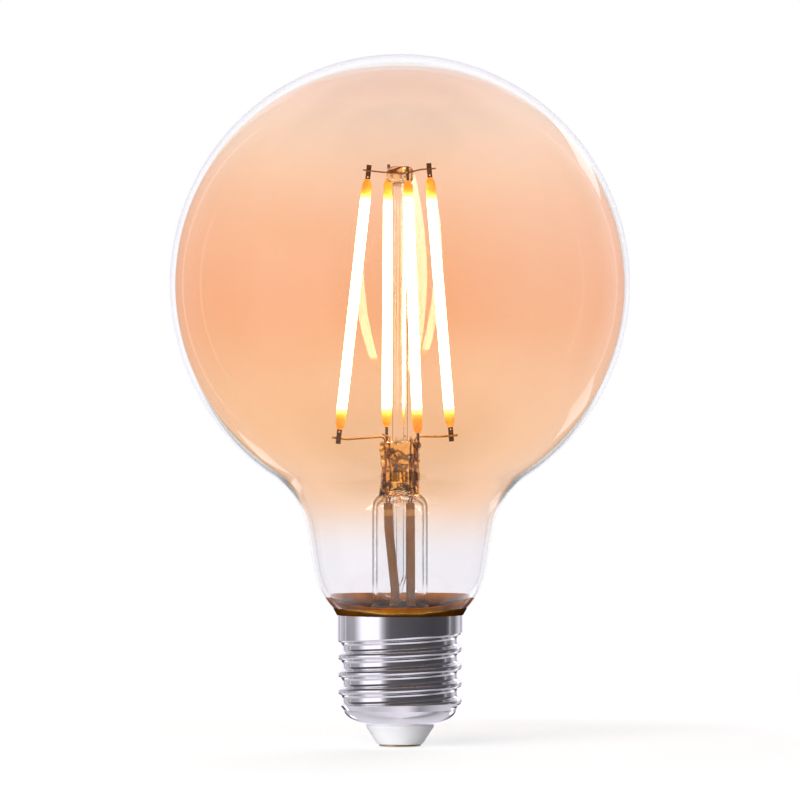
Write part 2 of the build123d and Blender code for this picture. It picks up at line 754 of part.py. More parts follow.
with BuildPart() as driver_board:
    with BuildSketch(Plane.XY.offset(board_z)):
        Circle(BOARD_D / 2)
    extrude(amount=BOARD_T)
    for wire in (*leads, live_wire.part, neutral_wire, fuse_resistor.part):
        add(wire, mode=Mode.SUBTRACT)
keep("driver_board", driver_board.part)


os.makedirs("parts", exist_ok=True)
for name, part in pieces.items():
    export_step(part, f"parts/{name}.step")
    print(f"{name}: {part.volume:.2f} mm3")
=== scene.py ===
# %% [markdown]
# # A filament bulb, dressed over its CAD frame
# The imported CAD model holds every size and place, so it is loaded first and is never moved.
# Metal, plastic and wires keep their CAD shape and get a finish. Glass and cement are modelled
# again here, because their looks come from smooth, slightly uneven walls.

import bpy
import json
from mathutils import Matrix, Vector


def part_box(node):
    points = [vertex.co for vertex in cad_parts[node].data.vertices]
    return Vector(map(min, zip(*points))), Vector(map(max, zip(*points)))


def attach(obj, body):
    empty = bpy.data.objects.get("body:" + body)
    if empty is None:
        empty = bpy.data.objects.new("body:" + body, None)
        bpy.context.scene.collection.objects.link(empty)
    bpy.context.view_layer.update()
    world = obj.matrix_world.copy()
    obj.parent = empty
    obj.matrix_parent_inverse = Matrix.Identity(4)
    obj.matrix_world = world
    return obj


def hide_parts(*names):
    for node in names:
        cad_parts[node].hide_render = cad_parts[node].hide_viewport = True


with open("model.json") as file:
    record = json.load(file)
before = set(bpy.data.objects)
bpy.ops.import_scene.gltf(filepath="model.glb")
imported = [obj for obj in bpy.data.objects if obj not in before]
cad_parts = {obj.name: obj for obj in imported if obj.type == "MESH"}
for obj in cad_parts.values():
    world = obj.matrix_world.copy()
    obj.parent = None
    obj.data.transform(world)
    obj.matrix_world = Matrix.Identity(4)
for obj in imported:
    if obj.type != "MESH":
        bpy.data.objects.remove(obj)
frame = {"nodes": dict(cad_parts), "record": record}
print(f"{len(frame['nodes'])} CAD nodes loaded")

# %% Measure the frame
import json
import math

import bmesh
import bpy
from mathutils import Vector

MM = 0.001
nodes = frame["nodes"]
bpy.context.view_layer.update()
globe_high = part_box("glass_globe")[1]
shell_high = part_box("screw_shell")[1]
stem_low, stem_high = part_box("glass_stem")
rod_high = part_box("support_rod")[1]

# %% [markdown]
# ## The camera
# The photograph was taken from far away with a long lens, level with the middle of the bulb: the
# globe shows no perspective and the cap's rim is almost a straight line. A long lens from about a
# metre away gives that view.

# %% Camera
PHOTO_WIDTH = 166.9 * MM
PHOTO_MIDDLE_Z = 72.1 * MM
LENS = 250.0
SENSOR = 36.0

scene = bpy.context.scene
camera_data = bpy.data.cameras.new("camera")
camera_data.lens = LENS
camera_data.sensor_width = SENSOR
camera = bpy.data.objects.new("camera", camera_data)
camera.location = (0, -PHOTO_WIDTH * LENS / SENSOR, PHOTO_MIDDLE_Z)
camera.rotation_euler = (math.pi / 2, 0, 0)
scene.collection.objects.link(camera)
scene.camera = camera
scene.view_settings.view_transform = "Standard"
print(f"camera {-camera.location.y:.3f} m in front of the bulb")

# %% [markdown]
# ## Drawing a wall with Spin
# Blown and drawn glass is round, so each wall starts as an outline in the XZ plane. A plane is
# merged to one point, Spin carries that point along an arc, and Extrude carries it along a line.
# A last full turn about the bulb's axis makes the wall. Spin counts its angle against the
# right-hand rule here, so the helper turns the sign round.

# %% Outline helpers
UP = Vector((0, 0, 1))
TOUCH = 0.001 * MM


def start_outline(name, place):
    """Begin a new piece as one point, in edit mode."""
    bpy.ops.object.select_all(action="DESELECT")
    bpy.ops.mesh.primitive_plane_add(size=MM, location=place)
    piece = bpy.context.object
    piece.name = piece.data.name = name
    bpy.ops.object.transform_apply(location=True, rotation=True, scale=True)
    bpy.ops.object.mode_set(mode="EDIT")
    bpy.ops.mesh.select_all(action="SELECT")
    bpy.ops.mesh.merge(type="CENTER")
    return piece


def arc_to(start, end, centre, steps):
    """Carry the outline's end from start to end along the short arc about centre."""
    first = math.atan2(start.x - centre.x, start.z - centre.z)
    last = math.atan2(end.x - centre.x, end.z - centre.z)
    turn = (last - first + math.pi) % (2 * math.pi) - math.pi
    bpy.ops.mesh.spin(steps=steps, angle=-turn, center=centre, axis=(0, 1, 0))
    return end


def line_to(start, end, steps=1):
    """Carry the outline's end from start to end in equal runs."""
    for _ in range(steps):
        bpy.ops.mesh.extrude_vertices_move(TRANSFORM_OT_translate={"value": (end - start) / steps})
    return end


def turn_outline(piece, segments):
    """Spin the outline round the bulb's axis into a closed wall."""
    bpy.ops.mesh.select_all(action="SELECT")
    bpy.ops.mesh.spin(steps=segments, angle=2 * math.pi, center=(0, 0, 0), axis=UP)
    bpy.ops.mesh.select_all(action="SELECT")
    bpy.ops.mesh.remove_doubles(threshold=TOUCH)
    bpy.ops.mesh.normals_make_consistent(inside=False)
    bpy.ops.object.mode_set(mode="OBJECT")
    bpy.ops.object.shade_smooth()
    print(f"{piece.name}: {len(piece.data.polygons)} faces")


print("helpers to draw an outline and spin it")

# %% [markdown]
# ## The glass globe
# The globe is one blown wall: a sphere, a hollow shoulder, a neck that tapers a little and a
# rounded bowl down to the seal. The outline runs down the outer skin and back up the inner skin,
# so the wall is real. Light bends twice in it, and that is what draws the clear ring round the
# globe's edge. The sizes repeat the CAD's, in metres.

# %% Globe sizes
WALL = 1.1 * MM
POLE_EXTRA = 0.45 * MM
NECK_R = 18.0 * MM
NECK_TAPER = math.radians(9.2)
NECK_SHARE = 0.517
BOWL_R = 15.0 * MM
SEAL_R = 9.6 * MM
SEAL_DROP = 1.7 * MM

globe_r = globe_high.x
globe_centre = Vector((0, 0, globe_high.z - globe_r))
rim_z = shell_high.z
seal_z = rim_z - SEAL_DROP
neck_up = Vector((math.sin(NECK_TAPER), 0, math.cos(NECK_TAPER)))
neck_out = Vector((math.cos(NECK_TAPER), 0, -math.sin(NECK_TAPER)))
bowl_x = NECK_R - BOWL_R * math.cos(NECK_TAPER)
bowl_centre = Vector((bowl_x, 0, seal_z + math.sqrt(BOWL_R**2 - (SEAL_R - bowl_x) ** 2)))
neck_foot = bowl_centre + neck_out * BOWL_R
foot_reach = neck_foot - globe_centre
foot_climb = foot_reach.dot(neck_up)
neck_run = -foot_climb - math.sqrt(foot_climb**2 - foot_reach.length_squared + globe_r**2)
neck_top = neck_foot + neck_up * (neck_run * NECK_SHARE)
top_reach = neck_top - globe_centre
shoulder_r = (top_reach.length_squared - globe_r**2) / (2 * (globe_r - top_reach.dot(neck_out)))
shoulder_centre = neck_top + neck_out * shoulder_r
shoulder_ray = (shoulder_centre - globe_centre).normalized()
hollow_r = globe_r - WALL
crown_h = hollow_r - POLE_EXTRA
crown_centre = globe_centre - UP * ((hollow_r**2 - crown_h**2) / (2 * crown_h))


def seal_edge(inset):
    """Where one skin of the bowl meets the stem."""
    drop = math.sqrt((BOWL_R - inset) ** 2 - (SEAL_R - bowl_x) ** 2)
    return Vector((SEAL_R, 0, bowl_centre.z - drop))


print(f"globe {2 * globe_r / MM:.1f} mm across, shoulder radius {shoulder_r / MM:.2f} mm")

# %% Globe wall
CROWN_STEPS = 64
FLANK_STEPS = 44
SHOULDER_STEPS = 18
NECK_STEPS = 8
BOWL_STEPS = 18
GLOBE_SEGMENTS = 240


def skin_points(inset):
    """Points where the arcs of one skin meet, from its widest point down to the seal."""
    return [
        globe_centre + Vector((globe_r - inset, 0, 0)),
        globe_centre + shoulder_ray * (globe_r - inset),
        neck_top - neck_out * inset,
        neck_foot - neck_out * inset,
        seal_edge(inset),
    ]


outer = skin_points(0)
inner = skin_points(WALL)
globe = start_outline("globe_wall", globe_high * UP)
at = arc_to(globe_centre + UP * globe_r, outer[0], globe_centre, CROWN_STEPS)
at = arc_to(at, outer[1], globe_centre, FLANK_STEPS)
at = arc_to(at, outer[2], shoulder_centre, SHOULDER_STEPS)
at = line_to(at, outer[3], NECK_STEPS)
at = arc_to(at, outer[4], bowl_centre, BOWL_STEPS)
at = line_to(at, inner[4])
at = arc_to(at, inner[3], bowl_centre, BOWL_STEPS)
at = line_to(at, inner[2], NECK_STEPS)
at = arc_to(at, inner[1], shoulder_centre, SHOULDER_STEPS)
at = arc_to(at, inner[0], globe_centre, FLANK_STEPS)
at = arc_to(at, globe_centre + UP * crown_h, crown_centre, CROWN_STEPS)
turn_outline(globe, GLOBE_SEGMENTS)

# %% Mark the inner skin
# Faces that look towards the globe's centre, or under it towards the axis, are the inner skin.
OUTER_SKIN, INNER_SKIN = 0, 1


def faces_inwards(face):
    """True where a face of the globe looks into the hollow."""
    middle = Vector((0, 0, min(face.center.z, globe_centre.z)))
    return face.normal.dot(face.center - middle) < 0


for face in globe.data.polygons:
    face.material_index = INNER_SKIN if faces_inwards(face) else OUTER_SKIN
inner_faces = sum(face.material_index for face in globe.data.polygons)
print(f"{inner_faces} of {len(globe.data.polygons)} faces are the inner skin")

# %% [markdown]
# ## The glass stem
# A flared tube rises from the seal, closes in a dome and ends in the press, where the glass was
# pinched flat round the wires while it was hot. A thin exhaust tube hangs inside. The tube is
# spun like the globe; the press starts as a block that is subdivided and pushed about by a cloud
# texture, because pinched glass is lumpy. Booleans join them, since it is all one glass.

# %% Stem sizes
TUBE_R = 5.8 * MM
TUBE_WALL = 0.8 * MM
TUBE_L = 24.5 * MM
STEM_DOME_H = 4.4 * MM
CAVITY_DOME_H = 3.2 * MM
PRESS_SIZE = Vector((8.2, 4.6, 11.8)) * MM
EXHAUST_R = 1.5 * MM
EXHAUST_BORE_R = 0.8 * MM
EXHAUST_L = 21.6 * MM
EXHAUST_TIP_L = 4.0 * MM
EXHAUST_TIP_R = 0.5 * MM

bore_r = TUBE_R - TUBE_WALL
tube_top = Vector((0, 0, seal_z + TUBE_L))
cavity_z = tube_top.z + CAVITY_DOME_H
press_top_z = stem_high.z
outer_edge, inner_edge = seal_edge(0), seal_edge(WALL)
flare_top = Vector((SEAL_R, 0, inner_edge.z + SEAL_R - TUBE_R))
flare_low = Vector((SEAL_R, 0, outer_edge.z + SEAL_R - bore_r))

print(f"stem {2 * TUBE_R / MM:.1f} mm across, {(stem_high.z - stem_low.z) / MM:.1f} mm tall")

# %% Stem tube
ON_ARC = 0.01 * MM
DOME_STEPS = 24
FLARE_STEPS = 14
TUBE_STEPS = 6
STEM_SEGMENTS = 96


def pick_points(piece, wanted):
    """Select the points of a piece in edit mode that pass a test on their place."""
    mesh = bmesh.from_edit_mesh(piece.data)
    bpy.ops.mesh.select_all(action="DESELECT")
    for point in mesh.verts:
        point.select = wanted(point.co)
    mesh.select_flush_mode()
    bmesh.update_edit_mesh(piece.data)


def flatten_dome(radius, height):
    """Press a half round at the top of the tube down to a dome of a given height."""
    pick_points(
        stem,
        lambda co: co.z > tube_top.z + TOUCH and abs((co - tube_top).length - radius) < ON_ARC,
    )
    bpy.ops.transform.resize(value=(1, 1, height / radius), center_override=tube_top)


stem = start_outline("stem_glass", tube_top + UP * TUBE_R)
at = arc_to(tube_top + UP * TUBE_R, tube_top + Vector((TUBE_R, 0, 0)), tube_top, DOME_STEPS)
at = line_to(at, Vector((TUBE_R, 0, flare_top.z)), TUBE_STEPS)
at = arc_to(at, inner_edge, flare_top, FLARE_STEPS)
at = line_to(at, outer_edge)
at = arc_to(at, Vector((bore_r, 0, flare_low.z)), flare_low, FLARE_STEPS)
at = line_to(at, tube_top + Vector((bore_r, 0, 0)), TUBE_STEPS)
at = arc_to(at, tube_top + UP * bore_r, tube_top, DOME_STEPS)
flatten_dome(TUBE_R, STEM_DOME_H)
flatten_dome(bore_r, CAVITY_DOME_H)
turn_outline(stem, STEM_SEGMENTS)

# %% Exhaust tube
TIP_STEPS = 7
EXHAUST_SEGMENTS = 48

exhaust_top_z = tube_top.z + (CAVITY_DOME_H + STEM_DOME_H) / 2
exhaust_tip_z = cavity_z - EXHAUST_L
taper_z = exhaust_tip_z + EXHAUST_TIP_L
tip_round_z = exhaust_tip_z + EXHAUST_TIP_R
bore_end_z = exhaust_tip_z + 3 * EXHAUST_TIP_R
tip = Vector((0, 0, exhaust_tip_z))
exhaust = start_outline("exhaust_tube", tip)
at = arc_to(tip, Vector((EXHAUST_TIP_R, 0, tip_round_z)), Vector((0, 0, tip_round_z)), TIP_STEPS)
at = line_to(at, Vector((EXHAUST_R, 0, taper_z)), TUBE_STEPS)
at = line_to(at, Vector((EXHAUST_R, 0, exhaust_top_z)), TUBE_STEPS)
at = line_to(at, Vector((EXHAUST_BORE_R, 0, exhaust_top_z)))
at = line_to(at, Vector((EXHAUST_BORE_R, 0, taper_z)), TUBE_STEPS)
at = line_to(at, Vector((0, 0, bore_end_z)), TUBE_STEPS)
turn_outline(exhaust, EXHAUST_SEGMENTS)

# %% Press
PRESS_CUTS = 3
PRESS_LEVELS = 3
PRESS_WAIST = 0.86
PRESS_WAIST_H = PRESS_SIZE.z / 3
PRESS_LUMPS = {"size": 2.0 * MM, "height": 1.3 * MM, "depth": 1}


def finish_with(piece, kind, **settings):
    """Add a modifier to a piece, set it and apply it."""
    bpy.ops.object.select_all(action="DESELECT")
    piece.select_set(True)
    bpy.context.view_layer.objects.active = piece
    modifier = piece.modifiers.new(kind.lower(), kind)
    for key, value in settings.items():
        setattr(modifier, key, value)
    bpy.ops.object.modifier_apply(modifier=modifier.name)


def make_lumpy(piece, size, height, depth):
    """Push a piece's skin about by a cloud texture, whose depth adds finer lumps."""
    lumps = bpy.data.textures.new(f"{piece.name} lumps", "CLOUDS")
    lumps.noise_scale = size
    lumps.noise_depth = depth
    finish_with(piece, "DISPLACE", texture=lumps, texture_coords="LOCAL", strength=height, mid_level=0.5)


press_middle = Vector((0, 0, press_top_z - PRESS_SIZE.z / 2))
bpy.ops.object.select_all(action="DESELECT")
bpy.ops.mesh.primitive_cube_add(size=1, location=press_middle, scale=PRESS_SIZE)
press = bpy.context.object
press.name = press.data.name = "press"
bpy.ops.object.transform_apply(location=True, rotation=True, scale=True)
bpy.ops.object.mode_set(mode="EDIT")
bpy.ops.mesh.select_all(action="SELECT")
bpy.ops.mesh.subdivide(number_cuts=PRESS_CUTS)
pick_points(press, lambda co: abs(co.z - press_middle.z) < PRESS_WAIST_H / 2)
bpy.ops.transform.resize(value=(PRESS_WAIST, PRESS_WAIST, 1), center_override=press_middle)
bpy.ops.object.mode_set(mode="OBJECT")
finish_with(press, "SUBSURF", levels=PRESS_LEVELS, render_levels=PRESS_LEVELS)
make_lumpy(press, **PRESS_LUMPS)
print(f"press: {len(press.data.polygons)} faces")

# %% [markdown]
# ## The support rod
# A drawn glass rod stands in the press and ends in a button that was melted round the link wires.
# It is spun like the rest and fused to the press, because the real rod is set in it while soft.

# %% Rod with its button
ROD_R = 1.6 * MM
BUTTON_H = 3.4 * MM
BUTTON_ROUND = 1.1 * MM
ROD_SINK = 1.5 * MM
ROD_STEPS = 20
BUTTON_STEPS = 8
ROD_SEGMENTS = 64

button_r = rod_high.x
button_foot_z = rod_high.z - BUTTON_H
round_low = Vector((button_r - BUTTON_ROUND, 0, button_foot_z + BUTTON_ROUND))
round_high = Vector((button_r - BUTTON_ROUND, 0, rod_high.z - BUTTON_ROUND))
rod_foot = Vector((0, 0, press_top_z - ROD_SINK))
rod = start_outline("rod", rod_foot)
at = line_to(rod_foot, rod_foot + Vector((ROD_R, 0, 0)))
at = line_to(at, Vector((ROD_R, 0, button_foot_z)), ROD_STEPS)
at = line_to(at, Vector((round_low.x, 0, button_foot_z)))
at = arc_to(at, Vector((button_r, 0, round_low.z)), round_low, BUTTON_STEPS)
at = line_to(at, Vector((button_r, 0, round_high.z)))
at = arc_to(at, Vector((round_high.x, 0, rod_high.z)), round_high, BUTTON_STEPS)
at = line_to(at, Vector((0, 0, rod_high.z)))
turn_outline(rod, ROD_SEGMENTS)

# %% Fuse the stem
STEM_CREASE = math.radians(40)


def join_glass(piece, other):
    """Fuse another glass shape into a piece."""
    finish_with(piece, "BOOLEAN", operation="UNION", solver="EXACT", object=other)
    bpy.data.objects.remove(other)


for other in (exhaust, press, rod):
    join_glass(stem, other)
bpy.ops.object.shade_smooth_by_angle(angle=STEM_CREASE)
print(f"stem: {len(stem.data.polygons)} faces")

# %% [markdown]
# ## The cement
# Brown cement holds the glass in the cap. It fills the rim under the bowl and the flare, stands out
# as a bead and clings to the glass above it, high at the back and the sides and low at the front.
# The ring is spun, and two slanted cuts shape its upper edge. Where it clings, it is drawn just
# inside the glass wall, so that it reads as stuck to the glass and not as a part behind it. A cloud
# texture makes its skin uneven.

# %% Cement ring
FLARE_FILL_R = 5.7 * MM
CEMENT_DEPTH = 2.9 * MM
BEAD_R = 14.0 * MM
CLING_R = 15.6 * MM
CLING_DEPTH = 0.15 * MM
CLING_SIDE_Z = 31.6 * MM
CLING_FRONT_Z = 29.0 * MM
CLING_BACK_Z = 31.2 * MM
CAP_GAP = 0.5 * MM
CEMENT_SEGMENTS = 160


def on_bowl(radius, depth):
    """Point on the bowl at a distance from the axis, depth under its outer skin."""
    reach = (radius - bowl_x) / BOWL_R
    return bowl_centre + Vector((reach, 0, -math.sqrt(1 - reach**2))) * (BOWL_R - depth)


cement_r = shell_high.x - CAP_GAP
bead_edge = on_bowl(BEAD_R, 0)
cling_foot = on_bowl(BEAD_R, CLING_DEPTH)
cling_edge = on_bowl(CLING_R, CLING_DEPTH)
cling_root = on_bowl(CLING_R, WALL / 2)
seal_root = (outer_edge + inner_edge) / 2
flare_mid_r = flare_low.z - seal_root.z
flare_drop = math.sqrt(flare_mid_r**2 - (SEAL_R - FLARE_FILL_R) ** 2)
flare_root = Vector((FLARE_FILL_R, 0, flare_low.z - flare_drop))
cement_low = Vector((FLARE_FILL_R, 0, rim_z - CEMENT_DEPTH))
cement = start_outline("cement", cement_low)
at = line_to(cement_low, Vector((cement_r, 0, cement_low.z)), steps=4)
at = line_to(at, Vector((cement_r, 0, rim_z)), steps=3)
at = line_to(at, Vector((shell_high.x, 0, rim_z)), steps=2)
at = line_to(at, bead_edge, steps=4)
at = line_to(at, cling_foot)
at = arc_to(at, cling_edge, bowl_centre, steps=6)
at = line_to(at, cling_root)
at = arc_to(at, seal_root, bowl_centre, steps=12)
at = arc_to(at, flare_root, flare_low, steps=8)
at = line_to(at, cement_low, steps=3)
turn_outline(cement, CEMENT_SEGMENTS)

# %% Slanted cuts
CEMENT_LUMPS = {"size": 1.6 * MM, "height": 0.16 * MM, "depth": 2}

bpy.ops.object.mode_set(mode="EDIT")
for slope in (CLING_FRONT_Z - CLING_SIDE_Z, CLING_SIDE_Z - CLING_BACK_Z):
    bpy.ops.mesh.select_all(action="SELECT")
    bpy.ops.mesh.bisect(
        plane_co=(0, 0, CLING_SIDE_Z),
        plane_no=Vector((0, slope, CLING_R)).normalized(),
        clear_outer=True,
        use_fill=True,
        threshold=TOUCH,
    )
bpy.ops.object.mode_set(mode="OBJECT")
make_lumpy(cement, **CEMENT_LUMPS)
print(f"cement: {len(cement.data.polygons)} faces after the cuts")

# %% [markdown]
# ## Shader helpers
# Every finish is a small net of nodes. These helpers add a node, link or set its sockets, and hand
# back the socket that goes on to the next node. One shared group, the mottle, gives every finish
# its uneven tone: a noise on Object coordinates, stretched along the way that the surface was
# worked and mapped between two values.

# %% Node helpers
# The colour sockets of a Mix node share their names with other sockets, so they go by number.
MIX_FACTOR, MIX_FIRST, MIX_SECOND, MIX_COLOUR = 0, 6, 7, 2


def add_node(tree, kind, sockets=None, **settings):
    """Add a shader node; a socket handed over is linked, any other value is set."""
    made = tree.nodes.new(kind)
    for key, value in settings.items():
        setattr(made, key, value)
    for key, value in (sockets or {}).items():
        if isinstance(value, bpy.types.NodeSocket):
            tree.links.new(value, made.inputs[key])
        else:
            made.inputs[key].default_value = value
    return made


def new_finish(name, values):
    """A material with one Principled shader, whose plain values are set on its sockets."""
    material = bpy.data.materials.new(name)
    material.use_nodes = True
    shader = material.node_tree.nodes["Principled BSDF"]
    for key, value in values.items():
        shader.inputs[key].default_value = value
    return material, material.node_tree, shader


def maths(tree, operation, *values):
    """One step of reckoning with sockets or numbers."""
    made = add_node(tree, "ShaderNodeMath", dict(enumerate(values)), operation=operation)
    return made.outputs["Value"]


def blend(tree, factor, first, second, way="MIX"):
    """Mix two colours, each a socket or three numbers, or multiply them."""
    ends = [end if isinstance(end, bpy.types.NodeSocket) else (*end, 1) for end in (first, second)]
    sockets = {MIX_FACTOR: factor, MIX_FIRST: ends[0], MIX_SECOND: ends[1]}
    made = add_node(tree, "ShaderNodeMix", sockets, data_type="RGBA", blend_type=way)
    return made.outputs[MIX_COLOUR]


def ramp(tree, value, stops, curve="LINEAR"):
    """Colour that follows a value through stops of (value, colour or plain share)."""
    low, high = stops[0][0], stops[-1][0]
    sockets = {"Value": value, "From Min": low, "From Max": high}
    share = add_node(tree, "ShaderNodeMapRange", sockets).outputs["Result"]
    made = add_node(tree, "ShaderNodeValToRGB", {"Fac": share})
    made.color_ramp.interpolation = curve
    elements = made.color_ramp.elements
    elements.remove(elements[1])
    for index, (place, tone) in enumerate(stops):
        element = elements.new((place - low) / (high - low)) if index else elements[0]
        element.color = (*tone, 1) if isinstance(tone, tuple) else (tone, tone, tone, 1)
    return made.outputs["Color"]


def object_place(tree):
    """Place of a point of the piece, in the CAD's frame."""
    return add_node(tree, "ShaderNodeTexCoord").outputs["Object"]


def parts_of(tree, place):
    """The X, Y and Z of a place."""
    return add_node(tree, "ShaderNodeSeparateXYZ", {"Vector": place}).outputs


def object_height(tree):
    """Height of a point above the centre contact."""
    return parts_of(tree, object_place(tree))["Z"]


print("helpers for nodes, mixes and ramps")

# %% Mottle group
MOTTLE_INPUTS = {"Stretch": "Vector", "Scale": "Float", "Low": "Float", "High": "Float"}
MOTTLE_DETAIL = 3.0
NOISE_LOW, NOISE_HIGH = 0.25, 0.75


def build_mottle():
    """Group: uneven tone from a stretched noise, between a low and a high value."""
    group = bpy.data.node_groups.new("mottle", "ShaderNodeTree")
    for name, kind in MOTTLE_INPUTS.items():
        group.interface.new_socket(name, in_out="INPUT", socket_type=f"NodeSocket{kind}")
    group.interface.new_socket("Value", in_out="OUTPUT", socket_type="NodeSocketFloat")
    given = group.nodes.new("NodeGroupInput").outputs
    sockets = {0: object_place(group), 1: given["Stretch"]}
    worked = add_node(group, "ShaderNodeVectorMath", sockets, operation="MULTIPLY")
    sockets = {"Vector": worked.outputs["Vector"], "Scale": given["Scale"], "Detail": MOTTLE_DETAIL}
    noise = add_node(group, "ShaderNodeTexNoise", sockets)
    sockets = {"Value": noise.outputs["Fac"], "From Min": NOISE_LOW, "From Max": NOISE_HIGH}
    sockets |= {"To Min": given["Low"], "To Max": given["High"]}
    spread = add_node(group, "ShaderNodeMapRange", sockets)
    group.links.new(spread.outputs["Result"], group.nodes.new("NodeGroupOutput").inputs["Value"])
    return group


MOTTLE = build_mottle()


def mottle(tree, scale, low, high, stretch=(1, 1, 1)):
    """Place the mottle in a material with its own values."""
    sockets = {"Stretch": stretch, "Scale": scale, "Low": low, "High": high}
    return add_node(tree, "ShaderNodeGroup", sockets, node_tree=MOTTLE).outputs["Value"]


def relief(tree, shader, height, depth):
    """Let a value of 0 to 1 stand out of the surface by a depth in metres."""
    bump = add_node(tree, "ShaderNodeBump", {"Height": height, "Distance": depth})
    tree.links.new(bump.outputs["Normal"], shader.inputs["Normal"])


print(f"mottle group with {len(MOTTLE_INPUTS)} inputs")

# %% [markdown]
# ## Clear glass
# The inner skin of the globe and the stem are plain clear glass, a little grey. The thick edges of
# a glass tube send the sight line far round, into the dark parts of a studio: Layer Weight darkens
# those edges with painted shade. The press and the button get golden and dark brown swirls in
# their colour: painted glints and painted shade for the light and dark that the lumpy glass bends
# into view.

# %% Inner skin
GLASS = {"Roughness": 0.0, "IOR": 1.4, "Transmission Weight": 1.0}
GREY_STOPS = ((95 * MM, (0.90, 0.895, 0.925)), (125 * MM, (1.0, 0.90, 0.925)))
GREY_CLOUD = (0.91, 0.865, 0.895)
GREY_GRAIN = 60

inner_skin, tree, shader = new_finish("inner_skin", GLASS)
grey = ramp(tree, object_height(tree), GREY_STOPS)
greyed = blend(tree, mottle(tree, GREY_GRAIN, 0, 1), grey, GREY_CLOUD)
tree.links.new(greyed, shader.inputs["Base Color"])
print("clear glass for the inner skin")

# %% Stem glass
CLEAR = (1.0, 1.0, 1.0)
SHADE = (0.03, 0.026, 0.026)
WARM_SHADE = (0.13, 0.05, 0.006)
WALL_STOPS = ((0.60, CLEAR), (0.70, SHADE), (1.0, SHADE))
ROD_STOPS = ((0.30, CLEAR), (0.50, SHADE), (1.0, SHADE))
WARM_STOPS = ((0.52, CLEAR), (0.66, WARM_SHADE), (1.0, WARM_SHADE))
THIN_STOPS = ((1.9 * MM, 1.0), (2.3 * MM, 0.0))
FLARE_STOPS = ((32 * MM, 0.0), (34 * MM, 1.0))
DOME_STOPS = ((46 * MM, 0.0), (50 * MM, 1.0))
# Where the painted glints and painted shade lie: the press and the button.
PRESS_AND_BUTTON_STOPS = (
    (52.3 * MM, 0.0),
    (54.0 * MM, 1.0),
    (62.8 * MM, 1.0),
    (64.5 * MM, 0.0),
    (116.5 * MM, 0.0),
    (117.5 * MM, 0.75),
    (122.0 * MM, 0.75),
)
# Painted glints and painted shade: golden and dark brown swirls for light and dark bent through the
# glass.
PAINTED_GLINT_AND_SHADE_STOPS = (
    (0.0, (1.0, 0.90, 0.72)),
    (0.36, (1.0, 0.76, 0.34)),
    (0.46, (1.0, 0.54, 0.05)),
    (0.52, (0.12, 0.055, 0.008)),
    (0.68, (0.02, 0.011, 0.002)),
    (0.74, (0.95, 0.46, 0.04)),
    (0.86, (1.0, 0.84, 0.52)),
)
GLINT_GRAIN = 380
DRAWN_GRAIN = 260
DRAWN_RELIEF = 0.02 * MM


def axis_distance(tree):
    """Distance of a point from the bulb's axis."""
    sockets = {0: object_place(tree), 1: (1, 1, 0)}
    flat = add_node(tree, "ShaderNodeVectorMath", sockets, operation="MULTIPLY")
    sockets = {0: flat.outputs["Vector"]}
    return add_node(tree, "ShaderNodeVectorMath", sockets, operation="LENGTH").outputs["Value"]


def slant(tree):
    """How flat the sight line meets the skin: 0 straight on, 1 along it."""
    return add_node(tree, "ShaderNodeLayerWeight", {"Blend": 0.5}).outputs["Facing"]


stem_glass, tree, shader = new_finish("stem_glass", GLASS)
facing = slant(tree)
height = object_height(tree)
thin = ramp(tree, axis_distance(tree), THIN_STOPS)
edges = blend(tree, thin, ramp(tree, facing, WALL_STOPS), ramp(tree, facing, ROD_STOPS))
edges = blend(tree, ramp(tree, height, FLARE_STOPS), CLEAR, edges)
edges = blend(tree, ramp(tree, height, DOME_STOPS), edges, ramp(tree, facing, WARM_STOPS))
# Painted glints and painted shade go on the press and the button.
painted_glints_and_shade = ramp(tree, mottle(tree, GLINT_GRAIN, 0, 1), PAINTED_GLINT_AND_SHADE_STOPS)
stem_colour = blend(tree, ramp(tree, height, PRESS_AND_BUTTON_STOPS), edges, painted_glints_and_shade)
tree.links.new(stem_colour, shader.inputs["Base Color"])
relief(tree, shader, mottle(tree, DRAWN_GRAIN, 0, 1), DRAWN_RELIEF)
stem.data.materials.append(stem_glass)
print("clear glass for the stem")

# %% [markdown]
# ## The amber film
# The amber is a thin metal-oxide film that is sprayed inside the blown globe. It is thickest round
# the middle, thins towards the top and stops in the neck with a soft edge. The stops give the
# colour of a sight line through both walls at each height. A sight line that meets the globe almost
# along its skin stays in the clear wall and never crosses the film, so the colour is laid on the
# outer skin and Layer Weight leaves the flattest angles clear. That clear ring is wider at the pole,
# where the wall is thicker.

# %% Film colour
FILM_STOPS = (
    (38.0 * MM, (0.93, 0.94, 0.975)),
    (41.5 * MM, (0.94, 0.93, 0.94)),
    (43.5 * MM, (0.96, 0.90, 0.87)),
    (47.0 * MM, (0.98, 0.81, 0.68)),
    (51.0 * MM, (0.98, 0.65, 0.43)),
    (55.5 * MM, (1.0, 0.625, 0.35)),
    (64.0 * MM, (1.0, 0.564, 0.28)),
    (72.0 * MM, (1.0, 0.566, 0.285)),
    (80.5 * MM, (1.0, 0.516, 0.246)),
    (89.0 * MM, (1.0, 0.454, 0.202)),
    (97.0 * MM, (1.0, 0.469, 0.231)),
    (105.0 * MM, (1.0, 0.512, 0.268)),
    (114.0 * MM, (1.0, 0.585, 0.355)),
    (122.0 * MM, (1.0, 0.68, 0.445)),
    (132.0 * MM, (0.99, 0.785, 0.60)),
    (138.0 * MM, (0.95, 0.69, 0.53)),
    (144.2 * MM, (0.88, 0.68, 0.55)),
)
PALE_STOPS = (
    (-48 * MM, 0.02),
    (-25 * MM, 0.0),
    (10 * MM, 0.0),
    (25 * MM, 0.08),
    (48 * MM, 0.12),
)
SPRAY = (1.0, 0.75, 0.6)
SPRAY_GRAIN, SPRAY_SHARE = 1400, 0.5
CLOUD_GRAIN, CLOUD_SHARE = 90, 0.35

